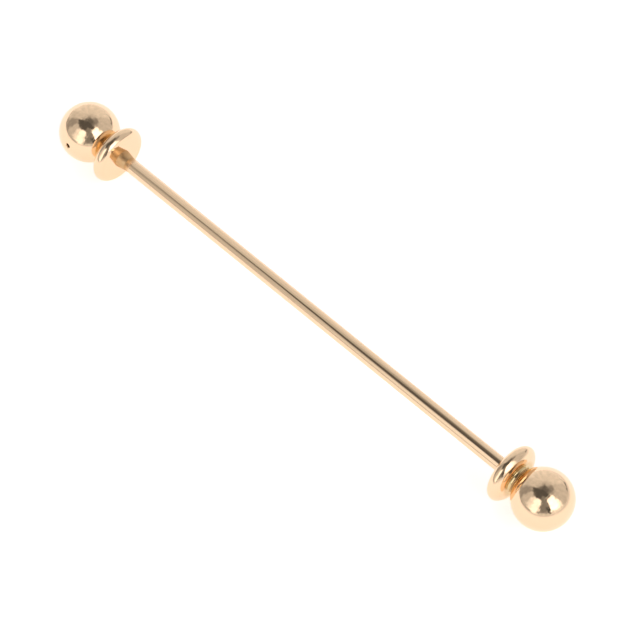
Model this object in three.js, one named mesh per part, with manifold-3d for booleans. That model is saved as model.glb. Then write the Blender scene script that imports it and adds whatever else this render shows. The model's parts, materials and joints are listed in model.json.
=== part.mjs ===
// A barbell collar bar: a straight wire with a ball and a flange at each end.
// One end is soldered on. The other screws off a fine thread, so that the wire can pass
// through the two eyelets of a shirt collar, and then screws on again to hold the collar shut.
//
// Millimetres, +Z up. +X runs along the wire towards the end that screws off, and the origin
// is on the wire's axis, halfway along the object.

import * as THREE from "three";
import { mergeVertices } from "three/addons/utils/BufferGeometryUtils.js";
import Module from "manifold-3d";

const wasm = await Module();
wasm.setup();

// ---- Driving dimensions -------------------------------------------------------------------

const OVERALL_LENGTH = 61.2;
const BALL_DIAMETER = 5.6;

const FLANGE_DIAMETER = 5.6;
const CREST_FROM_BALL_CENTRE = 3.62; // to the plane of the flange's largest diameter
const GRIP_SIDE = 0.64; // from there to the gripping face, and the rim's rounding there
const OUTER_SIDE = 0.77; // from there to the outer face, which is more domed
const CREST_ROUNDING = 0.5; // the outer side's radius next to the crest
const CREST_TURN = 34; // degrees that it turns before a wider radius takes over
const NECK_DIAMETER = 2.6;
const NECK_FLARE = 0.4; // the hollow radius with which the neck widens to the flange

const WIRE_DIAMETER = 1.35;
const BORE_CLEARANCE = 0.03; // radial, wire in a bored flange or ball
const SEAT_GAP = 0.02; // between faces that touch
const MOUTH_CHAMFER = 0.06;
const PILOT_UNDERCUT = 0.03; // the drilled hole's radius is this much under the thread's

// M1 coarse: the stud cut on the wire's end, and the tapped hole in the ball
const STUD_DIAMETER = 1;
const PITCH = 0.25;
const CREST_FLAT = PITCH / 8;
const ROOT_FLAT = PITCH / 4;
const FLANK_ANGLE = THREE.MathUtils.degToRad(30);
const THREAD_CLEARANCE = 0.03; // radial
const STUD_PAST_CENTRE = 0.42; // how far the stud's tip goes past the ball's centre
const STUD_POINT = 0.12; // the chamfer on its tip
const TAPPED_PAST_CENTRE = 0.85;
const PILOT_PAST_CENTRE = 1.05; // the drilled hole that was tapped

const SPIGOT_SHORT_OF_CENTRE = 0.45; // the wire stops here in the ball that is soldered on
const BORE_PAST_CENTRE = 0.4;
const VENT_DIAMETER = 0.4;
const VENT_ABOVE_LEVEL = THREE.MathUtils.degToRad(11);
const DRILL_POINT_SLOPE = 0.6; // a drilled hole's end is a cone: depth over radius

const SEAM_THICKNESS = 0.1;
const SEAM_BEAD = 0.02; // how far the seam stands out from the neck
const FILLET_WIDTH = 0.17; // solder drawn up round the wire from the flange's face
const FILLET_HEIGHT = 0.9;

const ROUND_SEGMENTS = 32;
const THREAD_SEGMENTS = 16;

// ---- Worked-out dimensions ----------------------------------------------------------------

const ballRadius = BALL_DIAMETER / 2;
const neckRadius = NECK_DIAMETER / 2;
const wireRadius = WIRE_DIAMETER / 2;
const boreRadius = wireRadius + BORE_CLEARANCE;
const studRadius = STUD_DIAMETER / 2;
const ballCentre = OVERALL_LENGTH / 2 - ballRadius;

const threadDepth = (PITCH - CREST_FLAT - ROOT_FLAT) / 2 / Math.tan(FLANK_ANGLE);

// Along an end's own axis, from the ball's centre towards the wire
const seat = Math.sqrt(ballRadius ** 2 - neckRadius ** 2);
const seamStart = seat + SEAT_GAP;
const seamEnd = seamStart + SEAM_THICKNESS;
const neckEnd = seamEnd + SEAT_GAP;
const outerFace = CREST_FROM_BALL_CENTRE - OUTER_SIDE;
const grippingFace = CREST_FROM_BALL_CENTRE + GRIP_SIDE;

// Along the whole object's X
const spigotEnd = -ballCentre + SPIGOT_SHORT_OF_CENTRE;
const shoulder = ballCentre - seat - SEAT_GAP;
const studTip = ballCentre + STUD_PAST_CENTRE;

// ---- Shaping helpers ----------------------------------------------------------------------

// A turned piece: the outline is [along the axis, radius] points, the metal to its left when
// the radius is drawn to the right and the axis upwards. The axis ends up along X.
function turned(outline, segments = ROUND_SEGMENTS) {
  const points = outline.map(([along, radius]) => new THREE.Vector2(radius, along));
  return new THREE.LatheGeometry(points, segments).rotateZ(-Math.PI / 2);
}

// Points on an ellipse about (along, radius), from one angle to another in degrees. At 0
// the point is farthest from the axis, and at 90 farthest along it.
function arc(along, radius, halfAlong, halfRadius, from, to, steps) {
  return Array.from({ length: steps + 1 }, (_, i) => {
    const t = THREE.MathUtils.degToRad(from + ((to - from) * i) / steps);
    return [along + halfAlong * Math.sin(t), radius + halfRadius * Math.cos(t)];
  });
}

// A closed outline returns to its first point.
const closed = (outline) => [...outline, outline[0]];

// The solid for joining and cutting, and the way back to a geometry.
function solid(geometry) {
  const bare = new THREE.BufferGeometry();
  const source = geometry.index ? geometry.toNonIndexed() : geometry;
  bare.setAttribute("position", source.getAttribute("position"));
  const merged = mergeVertices(bare, 1e-4);
  return new wasm.Manifold(
    new wasm.Mesh({
      numProp: 3,
      vertProperties: new Float32Array(merged.attributes.position.array),
      triVerts: new Uint32Array(merged.index.array),
    }),
  );
}

function geometryOf(manifold) {
  const { vertProperties, triVerts } = manifold.getMesh();
  const geometry = new THREE.BufferGeometry();
  geometry.setAttribute("position", new THREE.BufferAttribute(vertProperties, 3));
  geometry.setIndex(new THREE.BufferAttribute(triVerts, 1));
  geometry.computeVertexNormals();
  return geometry;
}

// A right-hand threaded rod along X, at least from start to end, with a crest passing
// through +Y at x = start. Its ends are rough helical steps, to be cut off or buried.
function threadedRod(crestRadius, start, end) {
  const rootRadius = crestRadius - threadDepth;
  const profile = [
    [-CREST_FLAT / 2, crestRadius],
    [CREST_FLAT / 2, crestRadius],
    [PITCH / 2 - ROOT_FLAT / 2, rootRadius],
    [PITCH / 2 + ROOT_FLAT / 2, rootRadius],
  ];
  const firstTurn = -2;
  const turns = Math.ceil((end - start) / PITCH) + 4;
  const columns = turns * THREAD_SEGMENTS;
  const positions = [];
  const point = (column, [along, radius]) => {
    const turn = column / THREAD_SEGMENTS;
    const angle = 2 * Math.PI * turn;
    const x = start + PITCH * (firstTurn + turn) + along;
    return [x, radius * Math.cos(angle), radius * Math.sin(angle)];
  };
  const face = (a, b, c) => positions.push(...a, ...b, ...c);
  // Each column of the profile meets the next, and its last point meets the first point of
  // the column one whole turn on.
  const strip = [...profile, [profile[0][0] + PITCH, profile[0][1]]];
  for (let column = 0; column < columns; column += 1) {
    for (let i = 0; i < profile.length; i += 1) {
      const here = [point(column, strip[i]), point(column, strip[i + 1])];
      const next = [point(column + 1, strip[i]), point(column + 1, strip[i + 1])];
      face(here[0], next[1], here[1]);
      face(here[0], next[0], next[1]);
    }
  }
  // Each end is a fan from a point on the axis to the open edge: one turn of the helix and
  // one pitch of the profile.
  const edge = (from, at) =>
    Array.from({ length: THREAD_SEGMENTS + 1 }, (_, i) => point(from + i, at));
  const fan = (rim, centre, flip) => {
    for (let i = 0; i < rim.length; i += 1) {
      const [a, b] = [rim[i], rim[(i + 1) % rim.length]];
      if (flip) face(centre, a, b);
      else face(centre, b, a);
    }
  };
  const firstRim = [
    ...edge(0, strip[0]),
    ...profile.slice(1).reverse().map((at) => point(0, at)),
  ];
  const lastRim = [
    ...edge(columns - THREAD_SEGMENTS, strip[4]),
    ...profile.slice(1).reverse().map((at) => point(columns, at)),
  ];
  const middle = (rim) => [rim.reduce((sum, at) => sum + at[0], 0) / rim.length, 0, 0];
  fan(firstRim, middle(firstRim), false);
  fan(lastRim, middle(lastRim), true);
  const geometry = new THREE.BufferGeometry();
  geometry.setAttribute("position", new THREE.Float32BufferAttribute(positions, 3));
  return geometry;
}

// ---- Finishes -----------------------------------------------------------------------------

const polishedGold = () =>
  new THREE.MeshStandardMaterial({ color: 0xf2d29b, metalness: 1, roughness: 0.12 });
const drawnGold = () =>
  new THREE.MeshStandardMaterial({ color: 0xe6c48f, metalness: 1, roughness: 0.25 });
const platedSolder = () =>
  new THREE.MeshStandardMaterial({ color: 0xe0b878, metalness: 1, roughness: 0.3 });

function piece(name, geometry, material) {
  const mesh = new THREE.Mesh(geometry, material);
  mesh.name = name;
  return mesh;
}

// ---- Pieces of an end, along its own axis from the ball's centre towards the wire -----------

// A ball with a flat seat for the neck, and a bore that ends past the ball's centre.
function ballGeometry(bore, mouth, pastCentre) {
  const seatAngle = THREE.MathUtils.radToDeg(Math.asin(seat / ballRadius));
  return turned([
    [-ballRadius, 0],
    ...arc(0, 0, ballRadius, ballRadius, -90, seatAngle, 15).slice(1),
    [seat, mouth],
    [seat - (mouth - bore), bore],
    [-pastCentre, bore],
    [-pastCentre - bore * DRILL_POINT_SLOPE, 0],
  ]);
}

// The ball that is soldered on: a hole from its side meets the bore beyond the wire's end
// and lets the gas out when it is soldered.
function ventedBallGeometry() {
  const ball = solid(ballGeometry(boreRadius, boreRadius + MOUTH_CHAMFER, BORE_PAST_CENTRE));
  const radius = VENT_DIAMETER / 2;
  const vent = new THREE.CylinderGeometry(radius, radius, ballRadius, 12)
    .translate(0, -ballRadius / 2 - boreRadius / 2, 0)
    .rotateX(-VENT_ABOVE_LEVEL);
  return geometryOf(ball.subtract(solid(vent)));
}

// The ball that screws off. The tap follows the stud's own helix, with clearance.
function tappedBallGeometry(end) {
  const tapRadius = studRadius + THREAD_CLEARANCE;
  const pilotRadius = tapRadius - threadDepth - PILOT_UNDERCUT;
  const ball = solid(ballGeometry(pilotRadius, tapRadius + MOUTH_CHAMFER, PILOT_PAST_CENTRE));
  const tap = threadedRod(tapRadius, shoulder, ballCentre + TAPPED_PAST_CENTRE);
  tap.applyMatrix4(end.matrix.clone().invert());
  const reach = studRadius + MOUTH_CHAMFER + THREAD_CLEARANCE;
  const tappedLength = turned([
    [-TAPPED_PAST_CENTRE, 0],
    [-TAPPED_PAST_CENTRE, reach],
    [seat + MOUTH_CHAMFER, reach],
    [seat + MOUTH_CHAMFER, 0],
  ]);
  return geometryOf(ball.subtract(solid(tap).intersect(solid(tappedLength))));
}

// The flange's rim from its outer face over the crest to its gripping face: a wide arc that
// starts flat, a tight one that runs on from it up to the crest, and a quarter round.
function rimOutline() {
  const crest = CREST_FROM_BALL_CENTRE;
  const flangeRadius = FLANGE_DIAMETER / 2;
  const turn = THREE.MathUtils.degToRad(CREST_TURN);
  const tightReach = CREST_ROUNDING * Math.sin(turn);
  const wideRounding = (OUTER_SIDE - tightReach) / (1 - Math.sin(turn));
  const inwards = wideRounding - CREST_ROUNDING; // from the tight arc's centre to the wide one's
  const tightCentre = flangeRadius - CREST_ROUNDING;
  const wideCentre = tightCentre - inwards * Math.cos(turn);
  const aside = inwards * Math.sin(turn);
  return [
    ...arc(crest + aside, wideCentre, wideRounding, wideRounding, -90, -CREST_TURN, 5),
    ...arc(crest, tightCentre, CREST_ROUNDING, CREST_ROUNDING, -CREST_TURN, 0, 3).slice(1),
    ...arc(crest, flangeRadius - GRIP_SIDE, GRIP_SIDE, GRIP_SIDE, 0, 90, 7).slice(1),
  ];
}

// A flange, bored through, and the neck that stands on its outer face.
function flangeGeometry() {
  const flareTurn = Math.asin((outerFace - neckEnd) / NECK_FLARE);
  const flareEnd = 180 - THREE.MathUtils.radToDeg(flareTurn);
  return turned(
    closed([
      [neckEnd, boreRadius],
      ...arc(neckEnd, neckRadius + NECK_FLARE, NECK_FLARE, NECK_FLARE, 180, flareEnd, 3),
      ...rimOutline(),
      [grippingFace, boreRadius + MOUTH_CHAMFER],
      [grippingFace - MOUTH_CHAMFER, boreRadius],
    ]),
  );
}

// The brazed seam between the ball's seat and the neck, with its bead standing out.
function seamGeometry() {
  const middle = (seamStart + seamEnd) / 2;
  return turned(
    closed([
      [seamStart, boreRadius],
      ...arc(middle, neckRadius, SEAM_THICKNESS / 2, SEAM_BEAD, -90, 90, 4),
      [seamEnd, boreRadius],
    ]),
  );
}

// Solder drawn up round the wire from the flange's gripping face: a slim cone.
function filletGeometry() {
  const foot = grippingFace + SEAT_GAP;
  const inside = wireRadius + SEAT_GAP;
  return turned(
    closed([
      [foot, inside],
      [foot, inside + FILLET_WIDTH],
      [foot + FILLET_HEIGHT, inside],
    ]),
  );
}

// ---- The wire -------------------------------------------------------------------------------

function wireGeometry() {
  const wire = turned([
    [spigotEnd, 0],
    [spigotEnd, wireRadius - MOUTH_CHAMFER],
    [spigotEnd + MOUTH_CHAMFER, wireRadius],
    [shoulder, wireRadius],
    [shoulder, 0],
  ]);
  const root = shoulder - PITCH; // where the thread starts inside the wire
  const studLength = turned([
    [root, 0],
    [root, studRadius + MOUTH_CHAMFER],
    [studTip - STUD_POINT, studRadius + MOUTH_CHAMFER],
    [studTip, studRadius + MOUTH_CHAMFER - STUD_POINT * 2],
    [studTip, 0],
  ]);
  const thread = solid(threadedRod(studRadius, shoulder, studTip));
  return geometryOf(solid(wire).add(thread.intersect(solid(studLength))));
}

// ---- The object -----------------------------------------------------------------------------

const fixedEnd = new THREE.Group();
fixedEnd.position.x = -ballCentre;
fixedEnd.add(
  piece("fixed_end_ball", ventedBallGeometry(), polishedGold()),
  piece("fixed_end_neck_solder", seamGeometry(), platedSolder()),
  piece("fixed_end_flange", flangeGeometry(), polishedGold()),
  piece("fixed_end_bar_solder", filletGeometry(), platedSolder()),
);

const screwEnd = new THREE.Group();
screwEnd.position.x = ballCentre;
screwEnd.rotation.z = Math.PI; // its own +X also points along the wire
screwEnd.updateMatrix();
screwEnd.add(
  piece("screw_end_ball", tappedBallGeometry(screwEnd), polishedGold()),
  piece("screw_end_neck_solder", seamGeometry(), platedSolder()),
  piece("screw_end_flange", flangeGeometry(), polishedGold()),
);

const collarBar = new THREE.Group();
collarBar.add(piece("bar", wireGeometry(), drawnGold()), fixedEnd, screwEnd);

export default collarBar;
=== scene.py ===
# %% [markdown]
# # A barbell collar bar, gold plated
# A collar bar holds the two points of a shirt collar together under the knot of a tie. This
# one is a straight wire with a ball and a flange at each end. One end is soldered on. The
# other is screwed on, so that the wire can be passed through the collar's two eyelets.
#
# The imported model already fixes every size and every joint. This script gives each piece a
# fine surface and a finish, puts them in a small studio, and leaves the motion alone.

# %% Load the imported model
import json
import math

import bmesh
import bpy
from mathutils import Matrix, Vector


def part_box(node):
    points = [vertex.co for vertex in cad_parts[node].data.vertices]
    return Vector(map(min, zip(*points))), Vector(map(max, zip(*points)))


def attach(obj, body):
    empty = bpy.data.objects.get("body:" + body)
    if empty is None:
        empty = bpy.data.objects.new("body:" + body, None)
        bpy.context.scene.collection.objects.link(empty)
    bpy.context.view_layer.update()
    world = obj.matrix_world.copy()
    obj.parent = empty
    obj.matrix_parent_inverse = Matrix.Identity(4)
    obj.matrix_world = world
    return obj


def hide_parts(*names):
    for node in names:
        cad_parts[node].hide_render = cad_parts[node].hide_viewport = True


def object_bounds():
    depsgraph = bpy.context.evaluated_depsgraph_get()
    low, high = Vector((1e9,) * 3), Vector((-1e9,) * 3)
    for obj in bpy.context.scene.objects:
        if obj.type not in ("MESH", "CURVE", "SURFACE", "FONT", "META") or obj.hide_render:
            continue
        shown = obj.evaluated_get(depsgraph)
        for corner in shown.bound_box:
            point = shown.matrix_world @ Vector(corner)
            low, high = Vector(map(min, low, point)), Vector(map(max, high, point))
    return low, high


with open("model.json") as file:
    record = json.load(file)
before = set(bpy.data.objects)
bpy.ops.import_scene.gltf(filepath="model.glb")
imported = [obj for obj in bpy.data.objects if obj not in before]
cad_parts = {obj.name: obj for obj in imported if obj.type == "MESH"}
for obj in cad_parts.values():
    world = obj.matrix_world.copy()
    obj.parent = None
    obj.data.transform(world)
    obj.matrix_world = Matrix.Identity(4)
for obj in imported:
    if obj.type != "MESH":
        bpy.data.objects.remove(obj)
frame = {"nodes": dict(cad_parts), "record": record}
cad_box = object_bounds()
print("packed nodes:", ", ".join(sorted(frame["nodes"])))

# %% [markdown]
# ## Measures
# Lengths are written in millimetres and turned into Blender's metres by MM. Where a piece
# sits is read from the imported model's boxes. The shape measures that a box can't tell, such
# as how round the rim of a flange is, are named here or beside the piece that uses them.

# %% Measures of the metalwork
MM = 0.001
BALL_RADIUS = 2.8 * MM
NECK_RADIUS = 1.3 * MM
NECK_FLARE = 0.4 * MM  # the hollow radius with which the neck widens to the flange
FLANGE_RADIUS = 2.8 * MM
GRIP_SIDE = 0.64 * MM  # from the rim's crest to the gripping face, and the rounding there
OUTER_SIDE = 0.77 * MM  # from the crest to the outer face, which is more domed
CREST_ROUNDING = 0.5 * MM  # the outer side's radius next to the crest
CREST_TURN = math.radians(34)  # how far it turns before a wider radius takes over
WIRE_RADIUS = 0.675 * MM
BORE_RADIUS = 0.705 * MM
STUD_RADIUS = 0.5 * MM
PITCH = 0.25 * MM
THREAD_DEPTH = 0.1353 * MM
THREAD_CLEARANCE = 0.03 * MM
VENT_RADIUS = 0.2 * MM
VENT_ABOVE_LEVEL = math.radians(11)
EDGE = 0.03 * MM  # a broken edge: the small chamfer a turner leaves
WELD = 0.0005 * MM  # points closer than this are one point

wire_low, wire_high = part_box("bar")
fixed_ball_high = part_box("fixed_end_ball")[1]
screw_ball_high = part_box("screw_end_ball")[1]
fixed_flange_low, fixed_flange_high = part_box("fixed_end_flange")
seam_low, seam_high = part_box("fixed_end_neck_solder")
fillet_low, fillet_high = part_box("fixed_end_bar_solder")

ball_centre = screw_ball_high.x - BALL_RADIUS
# Measures along an end's own axis, from its ball's centre towards the wire
seat = fixed_ball_high.x + ball_centre
seam_from = seam_low.x + ball_centre
seam_to = seam_high.x + ball_centre
neck_end = fixed_flange_low.x + ball_centre
gripping_face = fixed_flange_high.x + ball_centre
crest = gripping_face - GRIP_SIDE
outer_face = crest - OUTER_SIDE
shoulder = ball_centre - seat - (seam_from - seat)
print(f"balls centred {ball_centre / MM:.2f} mm each way, seats {seat / MM:.2f} mm from there")

# %% [markdown]
# ## Helpers for modelling by hand
# Blender's operators act on whatever is selected, so each step first clears the selection
# and then picks faces or edges by where they are. These few helpers keep that short.

# %% Selection and edit mode
def only(piece):
    bpy.ops.object.select_all(action="DESELECT")
    piece.select_set(True)
    bpy.context.view_layer.objects.active = piece


def edit(piece):
    only(piece)
    bpy.ops.object.mode_set(mode="EDIT")
    bpy.ops.mesh.select_mode(type="FACE")
    bpy.ops.mesh.select_all(action="DESELECT")


def leave_edit():
    bpy.ops.object.mode_set(mode="OBJECT")


def pick_faces(piece, wanted):
    """Selects the faces of a piece in edit mode whose centre and normal pass a test."""
    mesh = bmesh.from_edit_mesh(piece.data)
    for face in mesh.faces:
        if wanted(face.calc_center_median(), face.normal):
            face.select_set(True)
    bmesh.update_edit_mesh(piece.data)
    return sum(face.select for face in mesh.faces)


def pick_edges(piece, wanted):
    """Selects the edges of a piece in edit mode whose two end points both pass a test."""
    bpy.ops.mesh.select_mode(type="EDGE")
    mesh = bmesh.from_edit_mesh(piece.data)
    for line in mesh.edges:
        if all(wanted(point.co) for point in line.verts):
            line.select_set(True)
    bmesh.update_edit_mesh(piece.data)
    return sum(line.select for line in mesh.edges)


def settle(piece):
    """Puts an object's place and turn into its mesh."""
    only(piece)
    bpy.ops.object.transform_apply(location=True, rotation=True, scale=True)


def from_axis(place):
    return math.hypot(place.y, place.z)


# %% [markdown]
# ## Turning
# The flanges, seams and the vent's drill are turned shapes. On a lathe a tool follows an
# outline while the work goes round. Here a single point is extruded along the outline and
# the line is spun about the X axis, which gives the same even rings.

# %% A lathe made of extrude and spin
TURN_STEPS = 160


def arc(along, radius, half_along, half_radius, start, stop, steps):
    """Points on an ellipse: at 0 degrees farthest from the axis, at 90 farthest along it."""
    angles = [math.radians(start + (stop - start) * i / steps) for i in range(steps + 1)]
    return [
        (along + half_along * math.sin(a), radius + half_radius * math.cos(a)) for a in angles
    ]


def turned(name, outline, steps=TURN_STEPS):
    """A closed or axis-to-axis outline of (along, radius) points, spun about X."""
    bpy.ops.object.select_all(action="DESELECT")
    bpy.ops.mesh.primitive_plane_add(size=MM)
    piece = bpy.context.object
    piece.name = name
    edit(piece)
    bpy.ops.mesh.select_mode(type="VERT")
    bpy.ops.mesh.select_all(action="SELECT")
    bpy.ops.mesh.merge(type="CENTER")
    along, radius = outline[0]
    bpy.ops.transform.translate(value=(along, 0, radius))
    for next_along, next_radius in outline[1:]:
        step = (next_along - along, 0, next_radius - radius)
        bpy.ops.mesh.extrude_region_move(TRANSFORM_OT_translate={"value": step})
        along, radius = next_along, next_radius
    bpy.ops.mesh.select_all(action="SELECT")
    bpy.ops.mesh.spin(steps=steps, angle=2 * math.pi, center=(0, 0, 0), axis=(1, 0, 0))
    bpy.ops.mesh.select_all(action="SELECT")
    bpy.ops.mesh.remove_doubles(threshold=WELD)
    bpy.ops.mesh.normals_make_consistent(inside=False)
    leave_edit()
    return piece


def combined(piece, tool, operation):
    """Joins, cuts or trims a piece with a tool, which is then thrown away."""
    only(piece)
    bpy.ops.object.modifier_add(type="BOOLEAN")
    change = piece.modifiers[-1]
    change.operation = operation
    change.object = tool
    change.solver = "EXACT"
    bpy.ops.object.modifier_apply(modifier=change.name)
    bpy.data.objects.remove(tool)
    return piece


def placed_on_end(piece, end):
    """Moves a piece from an end's own axis to its place. The screw end faces the other way."""
    if end == "screw_end":
        piece.rotation_euler.z = math.pi
        piece.location.x = ball_centre
    else:
        piece.location.x = -ball_centre
    settle(piece)
    return piece


# %% [markdown]
# ## The camera and the studio
# A long lens looks down on the bar from the screw end's side. The bar lies on a white
# table. Polished metal has hardly any look of its own, so the studio is part of the finish:
# two soft boxes left and right of the camera, a dark ceiling over it, a dark gap between the
# boxes where the camera is worked, and pale walls behind.

# %% Camera
CAMERA_TURN = math.radians(44.3)  # from the front, -Y, towards the screw end
CAMERA_RAISE = math.radians(56.1)  # above the table
CAMERA_DISTANCE = 305.1 * MM
CAMERA_AIM = Vector((1.54, -0.11, 0)) * MM
CAMERA_LENS = 196.0  # Blender gives lenses in millimetres

towards_camera = Vector(
    (
        math.sin(CAMERA_TURN) * math.cos(CAMERA_RAISE),
        -math.cos(CAMERA_TURN) * math.cos(CAMERA_RAISE),
        math.sin(CAMERA_RAISE),
    )
)
camera_data = bpy.data.cameras.new("camera")
camera_data.lens = CAMERA_LENS
camera_data.clip_start = 0.01
camera = bpy.data.objects.new("camera", camera_data)
bpy.context.scene.collection.objects.link(camera)
camera.location = CAMERA_AIM + towards_camera * CAMERA_DISTANCE
camera.rotation_euler = (math.pi / 2 - CAMERA_RAISE, 0, CAMERA_TURN)
bpy.context.scene.camera = camera
bpy.context.scene.view_settings.view_transform = "Standard"
print("camera at", [round(c / MM, 1) for c in camera.location], "mm")

# %% [markdown]
# ## Wiring nodes
# A material or a room is a small network of nodes. Making each node takes several lines, so
# a helper class keeps the usual ones short: arithmetic, remapping a range and mixing.

# %% A helper for node trees
class Wiring:
    def __init__(self, tree):
        self.tree = tree

    def add(self, kind):
        return self.tree.nodes.new("ShaderNode" + kind)

    def feed(self, value, socket):
        """Sets a number on a socket, or links another node's output to it."""
        if isinstance(value, (int, float)):
            socket.default_value = value
        else:
            self.tree.links.new(value, socket)

    def split(self, vector):
        node = self.add("SeparateXYZ")
        self.feed(vector, node.inputs[0])
        return node.outputs

    def math(self, operation, *values):
        node = self.add("Math")
        node.operation = operation
        for value, socket in zip(values, node.inputs):
            self.feed(value, socket)
        return node.outputs[0]

    def range(self, value, low, high, start=0.0, stop=1.0, smooth=False):
        """Goes from start to stop while the value goes from low to high, and no further."""
        node = self.add("MapRange")
        if smooth:
            node.interpolation_type = "SMOOTHSTEP"
        sockets = [node.inputs[i] for i in range(5)]
        for number, socket in zip((value, start, stop, low, high), sockets):
            self.feed(number, socket)
        return node.outputs[0]

    def mix(self, amount, first, second):
        node = self.add("Mix")
        for value, name in ((amount, "Factor"), (first, "A"), (second, "B")):
            self.feed(value, node.inputs[name])
        return node.outputs[0]


# %% [markdown]
# ## The table
# White paper lies under the bar. It glows a little, as well as being lit, so that it comes
# out pure white. Its edges lie just outside the view, to the right and in front, and show
# only as a soft darkening in the balls.

# %% Table
TABLE_SIZE = 6.0  # metres, so that its edge is never seen
PAPER_GLOW = 0.6
PAPER_WHITE = 0.8
PAST_PAPER = 0.68  # how bright the table is past the paper, compared with it
PAPER_TO_THE_RIGHT = 32 * MM
PAPER_IN_FRONT = 42 * MM
PAPER_FADE = 36 * MM  # over this length the paper's edge fades to the table

table_material = bpy.data.materials.new("white_paper")
table_material.use_nodes = True
table_wiring = Wiring(table_material.node_tree)
table_shader = table_material.node_tree.nodes["Principled BSDF"]
table_shader.inputs["Roughness"].default_value = 0.9
table_shader.inputs["Specular IOR Level"].default_value = 0.0
on_table = table_wiring.split(table_wiring.add("TexCoord").outputs["Object"])


def past_edge(turn, reach):
    """0 on the paper, 1 well past its edge, which faces the given direction."""
    eastwards = table_wiring.math("MULTIPLY", on_table["X"], math.cos(turn))
    northwards = table_wiring.math("MULTIPLY", on_table["Y"], math.sin(turn))
    distance = table_wiring.math("ADD", eastwards, northwards)
    return table_wiring.range(distance, 0.0, 1.0, reach, reach + PAPER_FADE, True)


off_paper = table_wiring.math(
    "MAXIMUM",
    past_edge(CAMERA_TURN, PAPER_TO_THE_RIGHT),
    past_edge(CAMERA_TURN - math.pi / 2, PAPER_IN_FRONT),
)
whiteness = table_wiring.range(off_paper, 1.0, PAST_PAPER)
table_wiring.feed(
    table_wiring.math("MULTIPLY", whiteness, PAPER_WHITE), table_shader.inputs["Base Color"]
)
table_shader.inputs["Emission Color"].default_value = (1, 1, 1, 1)
table_wiring.feed(
    table_wiring.math("MULTIPLY", whiteness, PAPER_GLOW),
    table_shader.inputs["Emission Strength"],
)

bpy.ops.object.select_all(action="DESELECT")
bpy.ops.mesh.primitive_plane_add(size=TABLE_SIZE, location=(0, 0, cad_box[0][2]))
table = bpy.context.object
table.name = "table"
table.data.materials.append(table_material)
print(f"table at {table.location.z / MM:.2f} mm")

# %% [markdown]
# ## The room
# A polished ball mirrors the whole room, so the room is worth describing. It is painted on
# the world by direction: azimuth in degrees from +X towards +Y, and elevation above the
# table. The bare room gets darker towards the ceiling. On it lie soft-edged patches, each
# with a centre, a size and a brightness: the two soft boxes, the walls beside them, the dark
# corner overhead, and the dark gap between the boxes. A slow noise bends every edge a
# little, because nothing in a real room is ruled. Everything is grey, so that all the warm
# colour in the view comes from the gold.

# %% Directions in the room
EDGE_WANDER = 14  # degrees

world = bpy.data.worlds.new("room")
bpy.context.scene.world = world
world.use_nodes = True
room = Wiring(world.node_tree)
outwards = room.add("TexCoord").outputs["Generated"]
facing = room.split(outwards)
wander = room.add("TexNoise")
wander.inputs["Scale"].default_value = 5.0
wander.inputs["Detail"].default_value = 4.0
room.feed(outwards, wander.inputs["Vector"])


def wandering(angle, channel):
    off_centre = room.math("SUBTRACT", room.split(wander.outputs["Color"])[channel], 0.5)
    return room.math("ADD", angle, room.math("MULTIPLY", off_centre, 2 * EDGE_WANDER))


azimuth = room.math("DEGREES", room.math("ARCTAN2", facing["Y"], facing["X"]))
azimuth = wandering(azimuth, "X")
elevation = wandering(room.math("DEGREES", room.math("ARCSINE", facing["Z"])), "Y")

# %% Bare room
ROOM_BY_ELEVATION = (
    (-2, 1.0), (5, 0.93), (15, 0.86), (35, 0.8), (50, 0.75), (60, 0.65), (70, 0.5), (80, 0.27)
)

(low, dim), (high, dimmer) = ROOM_BY_ELEVATION[:2]
brightness = room.range(elevation, dim, dimmer, low, high)
for (low, dim), (high, dimmer) in zip(ROOM_BY_ELEVATION[1:], ROOM_BY_ELEVATION[2:]):
    change = room.range(elevation, 0.0, dimmer - dim, low, high)
    brightness = room.math("ADD", brightness, change)
print("bare room in", len(ROOM_BY_ELEVATION) - 1, "steps of elevation")

# %% Soft boxes, walls and shadows
PATCHES = (
    # name, azimuth, elevation, wide, high, brightness, softness, lean
    ("wall_at_the_far_left", -172, 24, 40, 68, 0.68, 18, 0),
    ("wall_on_the_right", 50, 25, 60, 66, 0.63, 16, 0),
    ("dim_above_the_right", 36, 71, 96, 28, 0.28, 14, 0),
    ("ceiling", 0, 85, 360, 22, 0.14, 16, 0),
    ("dark_corner_overhead", -82, 75, 168, 44, 0.1, 12, 0),
    ("doorway", -151, 23, 32, 54, 0.35, 12, 0),
    ("curtain", -122, 24, 30, 57, 0.62, 12, 0),
    ("left_diffuser", -98, 27, 22, 51, 1.05, 10, 0),
    ("left_soft_box", -78, 28, 29, 49, 1.5, 7, 0),
    ("table_edge", -132, 2, 84, 8, 0.5, 6, 0),
    ("right_soft_box", -4, 34, 40, 46, 2.1, 12, 0),
    ("foot_of_the_gap", -43, 5, 38, 16, 0.75, 8, 0),
    ("gap_between_the_boxes", -43, 39, 39, 58, 0.25, 8, 0),
    ("camera_stand", -29, 17, 13, 25, 0.1, 6, 0),
    ("stand_foot", -65, 8, 10, 10, 0.3, 5, 0),
    ("chair", 79, 4, 15, 9, 0.12, 6, 2.6),
)


def edge(distance, half, softness):
    outside, inside = half + softness / 2, half - softness / 2
    return room.range(room.math("ABSOLUTE", distance), 1.0, 0.0, inside, outside, True)


def patch(under, at_azimuth, at_elevation, wide, high, bright, softness, lean):
    """Lays a soft-edged patch on what is under it."""
    above = room.math("SUBTRACT", elevation, at_elevation)
    beside = room.math("SUBTRACT", azimuth, at_azimuth)
    beside = room.math("SUBTRACT", beside, room.math("MULTIPLY", above, lean))
    beside = room.math("WRAP", beside, 180.0, -180.0)
    inside = room.math(
        "MULTIPLY", edge(beside, wide / 2, softness), edge(above, high / 2, softness)
    )
    return room.mix(inside, under, bright)


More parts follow.
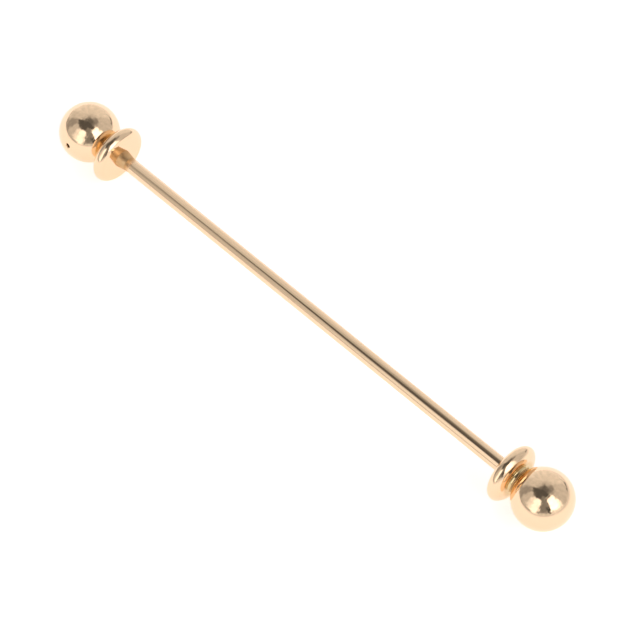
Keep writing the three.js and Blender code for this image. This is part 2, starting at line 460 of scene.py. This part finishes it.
for name, *measures in PATCHES:
    brightness = patch(brightness, *measures)
print("patches:", ", ".join(name for name, *measures in PATCHES))

# %% [markdown]
# Walls and soft boxes are hung with cloth, and cloth hangs in upright folds. A noise that is
# stretched upwards varies the brightness of the whole room.

# %% Folds
FOLDS = 0.3  # how much they vary the brightness
FOLD_SCALE = (9, 9, 0.8)

upright = room.add("Mapping")
upright.inputs["Scale"].default_value = FOLD_SCALE
folds = room.add("TexNoise")
folds.inputs["Scale"].default_value = 1.0
folds.inputs["Detail"].default_value = 3.0
room.feed(outwards, upright.inputs["Vector"])
room.feed(upright.outputs[0], folds.inputs["Vector"])
shading = room.range(folds.outputs[0], 1 - FOLDS, 1 + FOLDS)
brightness = room.math("MULTIPLY", brightness, shading)
room.feed(brightness, room.tree.nodes["Background"].inputs["Strength"])
room.tree.nodes["Background"].inputs["Color"].default_value = (1, 1, 1, 1)
print("room painted in", len(room.tree.nodes), "nodes")

# %% [markdown]
# ## Finishes
# All pieces are brass under one thin plating of pale gold, but each keeps the marks of how
# it was made. Turned pieces have faint rings round the axis. The wire has fine lines along
# it from the drawing die. Solder is a little uneven. One way would be to paint these marks
# as pictures. Noise that is worked out from Object coordinates is chosen instead, because it
# stays with the metal when a piece moves and is as fine as one likes.

# %% Building blocks for the finishes
PALE_GOLD = (0.95, 0.69, 0.455, 1)
HOLLOW_SHADE_GOLD = (0.74, 0.55, 0.29, 1)  # painted shade: the browner gold painted into the hollow beside the neck
SOLDER_GOLD = (0.7, 0.46, 0.24, 1)
HAIRLINE_STEP = 0.06  # from no hairline to a full one, in the noise's own measure
MIX_AMOUNT, MIX_FIRST, MIX_SECOND = 0, 6, 7  # a Mix node's inputs when it mixes colours
MIXED = 2  # and its output


class Finish(Wiring):
    """A metal whose pattern is put together from a few nodes."""

    def __init__(self, name, colour):
        self.material = bpy.data.materials.new(name)
        self.material.use_nodes = True
        super().__init__(self.material.node_tree)
        self.shader = self.tree.nodes["Principled BSDF"]
        self.shader.inputs["Metallic"].default_value = 1.0
        self.shader.inputs["Base Color"].default_value = colour
        self.place = self.add("TexCoord").outputs["Object"]

    def cloud(self, period, detail=3.0, stretch=(1, 1, 1), turn=(0, 0, 0)):
        """A soft 3-D noise whose blotches are about one period across."""
        mapping = self.add("Mapping")
        mapping.inputs["Scale"].default_value = [s / period for s in stretch]
        mapping.inputs["Rotation"].default_value = turn
        noise = self.add("TexNoise")
        noise.inputs["Scale"].default_value = 1.0
        noise.inputs["Detail"].default_value = detail
        self.feed(self.place, mapping.inputs["Vector"])
        self.feed(mapping.outputs[0], noise.inputs["Vector"])
        return noise.outputs[0]

    def rings(self, period, detail=4.0):
        """Lines round the X axis, as a lathe tool leaves them, none of them quite straight."""
        wander = self.math("MULTIPLY", self.cloud(period=2.5 * MM), 0.25 * MM)
        along = self.math("ADD", self.split(self.place)["X"], wander)
        noise = self.add("TexNoise")
        noise.noise_dimensions = "1D"
        noise.inputs["Scale"].default_value = 1.0
        noise.inputs["Detail"].default_value = detail
        self.feed(self.math("DIVIDE", along, period), noise.inputs["W"])
        return noise.outputs[0]

    def bump(self, height, depth, under=None):
        node = self.add("Bump")
        node.inputs["Strength"].default_value = 1.0
        node.inputs["Distance"].default_value = depth
        self.feed(height, node.inputs["Height"])
        if under is not None:
            self.feed(under, node.inputs["Normal"])
        return node.outputs[0]

    def scratches(self, period, turn, rarity):
        """Sparse thin hairlines in one direction."""
        lines = self.cloud(period, 1.0, (1, 0.03, 0.03), turn)
        return self.range(lines, 0.0, 1.0, rarity, rarity + HAIRLINE_STEP)

    def tint(self, amount, colour, other):
        """Turns the base colour to the other one where the amount is 1."""
        node = self.add("Mix")
        node.data_type = "RGBA"
        self.feed(amount, node.inputs[MIX_AMOUNT])
        node.inputs[MIX_FIRST].default_value = colour
        node.inputs[MIX_SECOND].default_value = other
        self.feed(node.outputs[MIXED], self.shader.inputs["Base Color"])

    def done(self, roughness, normal):
        self.feed(roughness, self.shader.inputs["Roughness"])
        self.feed(normal, self.shader.inputs["Normal"])
        print("finish:", self.material.name)
        return self.material


# %% [markdown]
# ## Polished gold
# The balls and flanges were turned and then buffed. Three bumps lie on each other: a very
# shallow swell from the buffing wheel, the rings from the lathe, and a few hairlines from
# being handled. Only the hairlines and slow clouds change the gloss. The hollow beside the
# neck is left duller, and shade is painted there as a browner gold.

# %% Polished and turned gold
HAIRLINE_DULLNESS = 0.05


def polished_gold(name, roughness, ring_depth):
    """Gives the finish, its roughness and its bumps, for a piece to change before use."""
    finish = Finish(name, PALE_GOLD)
    swell = finish.cloud(period=0.9 * MM, detail=1.0)
    rings = finish.rings(period=0.2 * MM)
    hairlines = finish.math(
        "MAXIMUM",
        finish.scratches(period=0.05 * MM, turn=(0.3, 0.4, 0.9), rarity=0.66),
        finish.scratches(period=0.06 * MM, turn=(1.1, -0.5, -0.4), rarity=0.67),
    )
    normal = finish.bump(swell, depth=0.006 * MM)
    normal = finish.bump(rings, ring_depth, under=normal)
    normal = finish.bump(hairlines, depth=-0.001 * MM, under=normal)
    clouded = finish.cloud(period=1.3 * MM)
    value = finish.range(clouded, roughness * 0.7, roughness * 1.3, 0.3, 0.7)
    value = finish.math("ADD", value, finish.math("MULTIPLY", hairlines, HAIRLINE_DULLNESS))
    return finish, value, normal


# %% Painted shade in the hollow beside the neck
HOLLOW_ENDS = (1.6 * MM, 2.0 * MM)  # from the axis: where it starts to fade, and is gone
HOLLOW_DULLNESS = 0.08


def hollow_shaded_and_dulled(finish, value):
    """Paints shade into the hollow beside the neck, on the balls' side of both flanges, as a
    browner gold, and makes it a little duller.
    """
    place = finish.split(finish.place)
    off_axis = finish.math(
        "SQRT",
        finish.math(
            "ADD",
            finish.math("MULTIPLY", place["Y"], place["Y"]),
            finish.math("MULTIPLY", place["Z"], place["Z"]),
        ),
    )
    near_neck = finish.range(off_axis, 1.0, 0.0, *HOLLOW_ENDS, True)
    flanges_at = ball_centre - crest
    outer_side = finish.math("GREATER_THAN", finish.math("ABSOLUTE", place["X"]), flanges_at)
    shade_and_dullness_mask = finish.math("MULTIPLY", near_neck, outer_side)
    # painted shade: the hollow is tinted a browner gold
    finish.tint(shade_and_dullness_mask, PALE_GOLD, HOLLOW_SHADE_GOLD)
    return finish.math("ADD", value, finish.math("MULTIPLY", shade_and_dullness_mask, HOLLOW_DULLNESS))


# %% [markdown]
# ## Drawn gold
# A wire is pulled through a die, which leaves lines along it. The noise is therefore
# stretched along X until it hardly changes that way. Past the solder, shade is painted on the
# wire: it is dull and brown there, and that fades out along the wire.

# %% Drawn gold
WIRE_SHADE_REACH = 0.7 * MM  # how far past the solder painted shade leaves the wire dull and brown
WIRE_SHADE_DULLNESS = 0.3


def drawn_gold(name):
    """The wire: lines along it, so the pattern changes round the wire and hardly along it."""
    finish = Finish(name, PALE_GOLD)
    coarse = finish.cloud(period=0.16 * MM, detail=3.0, stretch=(0.006, 1, 1))
    fine = finish.cloud(period=0.05 * MM, detail=2.0, stretch=(0.004, 1, 1))
    normal = finish.bump(coarse, depth=0.006 * MM)
    normal = finish.bump(fine, depth=0.0012 * MM, under=normal)
    roughness = finish.range(coarse, 0.11, 0.2, 0.3, 0.7)
    along = finish.split(finish.place)["X"]
    # painted shade: past the solder the wire is tinted browner and made duller
    wire_shade_and_dullness = finish.range(along, 1.0, 0.0, fillet_high.x, fillet_high.x + WIRE_SHADE_REACH, True)
    finish.tint(wire_shade_and_dullness, PALE_GOLD, SOLDER_GOLD)
    dulled = finish.math("MULTIPLY", wire_shade_and_dullness, WIRE_SHADE_DULLNESS)
    roughness = finish.math("ADD", roughness, dulled)
    return finish.done(roughness, normal)


# %% [markdown]
# ## Plated solder
# Solder isn't polished after it has set. It is satin, and small lumps show in it.

# %% Plated solder
def plated_solder(name):
    finish = Finish(name, SOLDER_GOLD)
    lumps = finish.cloud(period=0.3 * MM, detail=4.0)
    normal = finish.bump(lumps, depth=0.015 * MM)
    roughness = finish.range(lumps, 0.38, 0.55, 0.3, 0.7)
    return finish.done(roughness, normal)


# %% The four finishes in use
finish, value, normal = polished_gold(
    "polished_gold_ball", roughness=0.08, ring_depth=0.0045 * MM
)
ball_gold = finish.done(value, normal)
finish, value, normal = polished_gold(
    "polished_gold_flange", roughness=0.09, ring_depth=0.002 * MM
)
flange_gold = finish.done(hollow_shaded_and_dulled(finish, value), normal)
wire_gold = drawn_gold("drawn_gold_wire")
solder_gold = plated_solder("plated_solder")

# %% [markdown]
# ## Handing a piece over
# Each finished piece stands for one node of the imported model, rides on the same body, and
# hides the imported part.

# %% Put a piece in a node's place
node_body = {
    node: body
    for body, nodes in frame["record"]["behaviour"]["bodies"].items()
    for node in nodes
}
SHARP_ABOVE = math.radians(30)  # edges that turn less than this are shaded smooth


def stands_for(piece, node, finish):
    piece.name = "fine_" + node
    piece.data.materials.clear()
    piece.data.materials.append(finish)
    only(piece)
    bpy.ops.object.shade_smooth_by_angle(angle=SHARP_ABOVE)
    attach(piece, node_body[node])
    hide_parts(node)
    print(f"{piece.name}: {len(piece.data.polygons)} faces, on {node_body[node]}")


# %% [markdown]
# ## The thread
# The stud and the hole tapped in the ball share one shape: a ridge that climbs round a rod.
# A Screw modifier winds one pitch of the outline into the whole thread. Its two ends come
# out ragged, so the rod is made too long and is trimmed with a turned shape.

# %% A threaded rod
THREAD_STEPS = 48  # in each turn
SPARE_TURNS = 2  # at each end
CREST_FLAT = PITCH / 8
ROOT_FLAT = PITCH / 4


def threaded_rod(name, crest_radius, start, end):
    """A right-hand thread along X whose crest passes through +Y at x = start."""
    root_radius = crest_radius - THREAD_DEPTH
    # The outline stands at +Z, which is a quarter of a turn on from +Y.
    crest_at = start + PITCH / 4 - SPARE_TURNS * PITCH
    outline = [
        (crest_at - CREST_FLAT / 2, crest_radius),
        (crest_at + CREST_FLAT / 2, crest_radius),
        (crest_at + (PITCH / 2 - ROOT_FLAT / 2), root_radius),
        (crest_at + (PITCH / 2 + ROOT_FLAT / 2), root_radius),
        (crest_at + (PITCH - CREST_FLAT / 2), crest_radius),
    ]
    bpy.ops.object.select_all(action="DESELECT")
    bpy.ops.mesh.primitive_plane_add(size=MM)
    rod = bpy.context.object
    rod.name = name
    edit(rod)
    bpy.ops.mesh.select_mode(type="VERT")
    bpy.ops.mesh.select_all(action="SELECT")
    bpy.ops.mesh.merge(type="CENTER")
    bpy.ops.transform.translate(value=(outline[0][0], 0, outline[0][1]))
    for here, there in zip(outline, outline[1:]):
        step = (there[0] - here[0], 0, there[1] - here[1])
        bpy.ops.mesh.extrude_region_move(TRANSFORM_OT_translate={"value": step})
    leave_edit()
    only(rod)
    bpy.ops.object.modifier_add(type="SCREW")
    winding = rod.modifiers[-1]
    winding.axis = "X"
    winding.screw_offset = PITCH
    winding.iterations = math.ceil((end - start) / PITCH) + 2 * SPARE_TURNS
    winding.steps = winding.render_steps = THREAD_STEPS
    bpy.ops.object.modifier_apply(modifier=winding.name)
    edit(rod)
    bpy.ops.mesh.select_all(action="SELECT")
    bpy.ops.mesh.remove_doubles(threshold=WELD)
    bpy.ops.mesh.select_all(action="DESELECT")
    bpy.ops.mesh.select_mode(type="VERT")
    bpy.ops.mesh.select_non_manifold()
    bpy.ops.mesh.fill_holes(sides=0)
    bpy.ops.mesh.select_all(action="SELECT")
    bpy.ops.mesh.normals_make_consistent(inside=False)
    leave_edit()
    return rod


# %% [markdown]
# ## The wire
# Drawn brass wire, cut square. At the fixed end it stops inside the ball. At the screw end
# it is turned down and threaded. Only the stretch between the flanges shows, until the
# screw end is taken off and the stud comes out. A cylinder with bevelled ends is enough for
# the wire, and the trimmed thread is joined to it with a Boolean modifier, so that the two
# are one closed piece, as they are one piece of brass.

# %% Wire
wire_length = shoulder - wire_low.x
bpy.ops.object.select_all(action="DESELECT")
bpy.ops.mesh.primitive_cylinder_add(
    vertices=96,
    radius=WIRE_RADIUS,
    depth=wire_length,
    location=(wire_low.x + wire_length / 2, 0, 0),
    rotation=(0, math.pi / 2, 0),
)
wire = bpy.context.object
settle(wire)
edit(wire)
pick_edges(wire, lambda at: at.x < wire_low.x + EDGE or at.x > shoulder - EDGE)
bpy.ops.mesh.bevel(offset=EDGE, segments=3, affect="EDGES")
leave_edit()
print(f"wire {wire_length / MM:.2f} mm long, without its stud")

# %% Stud
STUD_CHAMFER = 0.12 * MM
STUD_POINT_SLOPE = 1.4  # how much its chamfer narrows, over its length
stud_reach = STUD_RADIUS + 0.02 * MM  # just clear of the thread's crests
stud = threaded_rod("stud", STUD_RADIUS, shoulder, wire_high.x)
stud_length = turned(
    "stud_length",
    [
        (shoulder - PITCH, 0),
        (shoulder - PITCH, stud_reach),
        (wire_high.x - STUD_CHAMFER, stud_reach),
        (wire_high.x, stud_reach - STUD_POINT_SLOPE * STUD_CHAMFER),
        (wire_high.x, 0),
    ],
    64,
)
combined(stud, stud_length, "INTERSECT")
combined(wire, stud, "UNION")
stands_for(wire, "bar", wire_gold)

# %% [markdown]
# ## The balls
# Each ball is turned, then drilled from a flat seat where the neck meets it. It could be
# spun from an outline like the flanges. A sphere lying with its poles on X is used, because
# its even rings take the seat's cut cleanly: the flat is inset to the bore's mouth and then
# extruded inwards, with a small chamfer, to a drill point.

# %% A drilled ball
BALL_SEGMENTS = 192
BALL_RINGS = 128
DRILL_POINT = 0.6  # depth over radius


def drilled_ball(name, bore, mouth, past_centre):
    bpy.ops.object.select_all(action="DESELECT")
    bpy.ops.mesh.primitive_uv_sphere_add(
        segments=BALL_SEGMENTS,
        ring_count=BALL_RINGS,
        radius=BALL_RADIUS,
        rotation=(0, math.pi / 2, 0),
    )
    ball = bpy.context.object
    ball.name = name
    settle(ball)
    edit(ball)
    bpy.ops.mesh.select_all(action="SELECT")
    bpy.ops.mesh.bisect(
        plane_co=(seat, 0, 0),
        plane_no=(1, 0, 0),
        use_fill=True,
        clear_outer=True,
        threshold=WELD,
    )
    bpy.ops.mesh.select_all(action="DESELECT")
    bpy.ops.mesh.select_mode(type="FACE")
    pick_faces(ball, lambda centre, normal: centre.x > seat - EDGE / 10 and normal.x > 0.99)
    bpy.ops.mesh.inset(thickness=NECK_RADIUS - mouth, use_even_offset=False)
    narrowing = bore / mouth
    bpy.ops.mesh.extrude_region_move(
        TRANSFORM_OT_translate={"value": (-(mouth - bore), 0, 0)}
    )
    bpy.ops.transform.resize(value=(1, narrowing, narrowing))
    depth = seat - (mouth - bore) + past_centre
    bpy.ops.mesh.extrude_region_move(TRANSFORM_OT_translate={"value": (-depth, 0, 0)})
    bpy.ops.mesh.extrude_region_move(
        TRANSFORM_OT_translate={"value": (-bore * DRILL_POINT, 0, 0)}
    )
    bpy.ops.mesh.merge(type="CENTER")
    leave_edit()
    return ball


# %% [markdown]
# A vent hole meets the fixed ball's blind bore past the wire's end, and lets the gas out when
# the joint is soldered. The drill that cuts it has a flared shoulder, so the hole gets the
# rounded lip that polishing gives every small hole.

# %% The fixed ball and its vent
BORE_PAST_CENTRE = 0.4 * MM

fixed_ball = drilled_ball(
    "fixed_ball", BORE_RADIUS, BORE_RADIUS + 2 * EDGE, BORE_PAST_CENTRE
)
VENT_LIP = 0.15 * MM
vent_surface = math.sqrt(BALL_RADIUS**2 - VENT_RADIUS**2)
lip_from = vent_surface - VENT_LIP
drill_tip = BORE_RADIUS * 0.6  # inside the bore, past its wall
drill_top = BALL_RADIUS + MM  # clear of the ball
lip_radius = VENT_RADIUS + VENT_LIP
drill = turned(
    "vent_drill",
    [
        (drill_tip, 0),
        (drill_tip, VENT_RADIUS),
        (lip_from, VENT_RADIUS),
        *arc(lip_from, lip_radius, VENT_LIP, -VENT_LIP, 0, 90, 6)[1:],
        (drill_top, lip_radius),
        (drill_top, 0),
    ],
    64,
)
drill.rotation_euler = (0, -VENT_ABOVE_LEVEL, -math.pi / 2)
settle(drill)
combined(fixed_ball, drill, "DIFFERENCE")
placed_on_end(fixed_ball, "fixed_end")
stands_for(fixed_ball, "fixed_end_ball", ball_gold)

# %% [markdown]
# The screw ball is tapped with the same thread as the stud, a little larger all round, and
# cut where the stud is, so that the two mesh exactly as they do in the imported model.

# %% The tapped ball
TAPPED_PAST_CENTRE = 0.85 * MM
PILOT_PAST_CENTRE = 1.05 * MM
tap_radius = STUD_RADIUS + THREAD_CLEARANCE
pilot_radius = tap_radius - THREAD_DEPTH - EDGE

screw_ball = drilled_ball(
    "screw_ball", pilot_radius, tap_radius + 2 * EDGE, PILOT_PAST_CENTRE
)
placed_on_end(screw_ball, "screw_end")
tap = threaded_rod("tap", tap_radius, shoulder, ball_centre + TAPPED_PAST_CENTRE)
tap_reach = tap_radius + 2 * EDGE
tap_from = ball_centre - seat - 2 * EDGE
tap_to = ball_centre + TAPPED_PAST_CENTRE
tapped_length = turned(
    "tapped_length",
    [(tap_from, 0), (tap_from, tap_reach), (tap_to, tap_reach), (tap_to, 0)],
    64,
)
combined(tap, tapped_length, "INTERSECT")
combined(screw_ball, tap, "DIFFERENCE")
stands_for(screw_ball, "screw_end_ball", ball_gold)

# %% [markdown]
# ## The flanges
# A flange is one turning. Its short neck widens in a hollow to the outer side, which is
# domed towards the rim. The other side is the flat gripping face that bears on the collar,
# with the rim rounded over to it. Both ends use the same turning, so it is made once and
# copied, each copy with a mesh of its own.

# %% The rim
def rim_outline():
    """From the outer face over the crest to the gripping face, in three tangent arcs."""
    tight_reach = CREST_ROUNDING * math.sin(CREST_TURN)
    wide_rounding = (OUTER_SIDE - tight_reach) / (1 - math.sin(CREST_TURN))
    inwards = wide_rounding - CREST_ROUNDING
    tight_centre = FLANGE_RADIUS - CREST_ROUNDING
    wide_centre = tight_centre - inwards * math.cos(CREST_TURN)
    aside = inwards * math.sin(CREST_TURN)
    turn = math.degrees(CREST_TURN)
    return [
        *arc(crest + aside, wide_centre, wide_rounding, wide_rounding, -90, -turn, 20),
        *arc(crest, tight_centre, CREST_ROUNDING, CREST_ROUNDING, -turn, 0, 12)[1:],
        *arc(crest, FLANGE_RADIUS - GRIP_SIDE, GRIP_SIDE, GRIP_SIDE, 0, 90, 28)[1:],
    ]


# %% Flanges
flare_end = 180 - math.degrees(math.asin((outer_face - neck_end) / NECK_FLARE))
flange_outline = [
    (neck_end, BORE_RADIUS),
    *arc(neck_end, NECK_RADIUS + NECK_FLARE, NECK_FLARE, NECK_FLARE, 180, flare_end, 12),
    *rim_outline(),
    (gripping_face, BORE_RADIUS + 2 * EDGE),
    (gripping_face - 2 * EDGE, BORE_RADIUS),
    (neck_end, BORE_RADIUS),
]
print(f"flange {(gripping_face - outer_face) / MM:.2f} mm thick, {len(flange_outline)} points")


def copied(piece, name):
    twin = piece.copy()
    twin.data = piece.data.copy()
    twin.name = name
    bpy.context.scene.collection.objects.link(twin)
    return twin


# %% Both flanges
flange = turned("flange", flange_outline)
for end in ("fixed_end", "screw_end"):
    node = end + "_flange"
    stands_for(placed_on_end(copied(flange, node), end), node, flange_gold)
bpy.data.objects.remove(flange)

# %% [markdown]
# ## Solder
# Ball and neck are brazed together, which leaves a thin bead round the joint. At the fixed
# end more solder has been drawn up round the wire from the gripping face, in a slim cone. It
# is turned like the rest, and a Displace modifier with a soft noise then pushes its outside
# about a little, because solder never runs evenly.

# %% Seams
SEAM_BEAD = 0.02 * MM

seam_middle = (seam_from + seam_to) / 2
seam = turned(
    "seam",
    [
        (seam_from, BORE_RADIUS),
        *arc(seam_middle, NECK_RADIUS, (seam_to - seam_from) / 2, SEAM_BEAD, -90, 90, 12),
        (seam_to, BORE_RADIUS),
        (seam_from, BORE_RADIUS),
    ],
)
for end in ("fixed_end", "screw_end"):
    node = end + "_neck_solder"
    stands_for(placed_on_end(copied(seam, node), end), node, solder_gold)
bpy.data.objects.remove(seam)

# %% The collar of solder round the wire
FILLET_GAP = 0.004 * MM  # to the wire and to the flange, so that no surfaces coincide
FILLET_LUMPS = 0.02 * MM  # how far the noise moves the outside, from lowest to highest
FILLET_STEPS = 24
LUMP_SIZE = 0.5 * MM

fillet_inside = WIRE_RADIUS + FILLET_GAP
fillet_width = fillet_high.y - fillet_inside - FILLET_LUMPS / 2
fillet_height = fillet_high.x - fillet_low.x - FILLET_LUMPS / 2
fillet_foot = gripping_face + FILLET_GAP
fillet_outline = [(fillet_foot, fillet_inside)]
for step in range(FILLET_STEPS + 1):
    up = step / FILLET_STEPS
    thickness = fillet_width * (1 - up)
    fillet_outline.append((fillet_foot + up * fillet_height, fillet_inside + thickness))
fillet_outline.append((fillet_foot, fillet_inside))
fillet = turned("fillet", fillet_outline)
print(f"solder collar {fillet_height / MM:.2f} mm long, {fillet_width / MM:.2f} mm wide")

# %% Its uneven outside
only(fillet)
outer_side_points = fillet.vertex_groups.new(name="outer_side_points")
outer_side_points.add(
    [
        point.index
        for point in fillet.data.vertices
        if point.co.x > fillet_foot + EDGE and from_axis(point.co) > fillet_inside + EDGE
    ],
    1.0,
    "REPLACE",
)
lumps = bpy.data.textures.new("solder_lumps", "CLOUDS")
lumps.noise_scale = LUMP_SIZE
bpy.ops.object.modifier_add(type="DISPLACE")
swelling = fillet.modifiers[-1]
swelling.texture = lumps
swelling.texture_coords = "LOCAL"
swelling.vertex_group = outer_side_points.name
swelling.strength = FILLET_LUMPS
swelling.mid_level = 0.5
bpy.ops.object.modifier_apply(modifier=swelling.name)
placed_on_end(fillet, "fixed_end")
stands_for(fillet, "fixed_end_bar_solder", solder_gold)

# %% [markdown]
# ## The imported model's box
# Its corners are printed, in millimetres.

# %% The packed box
print("packed box", [[round(v / MM, 2) for v in corner] for corner in cad_box])
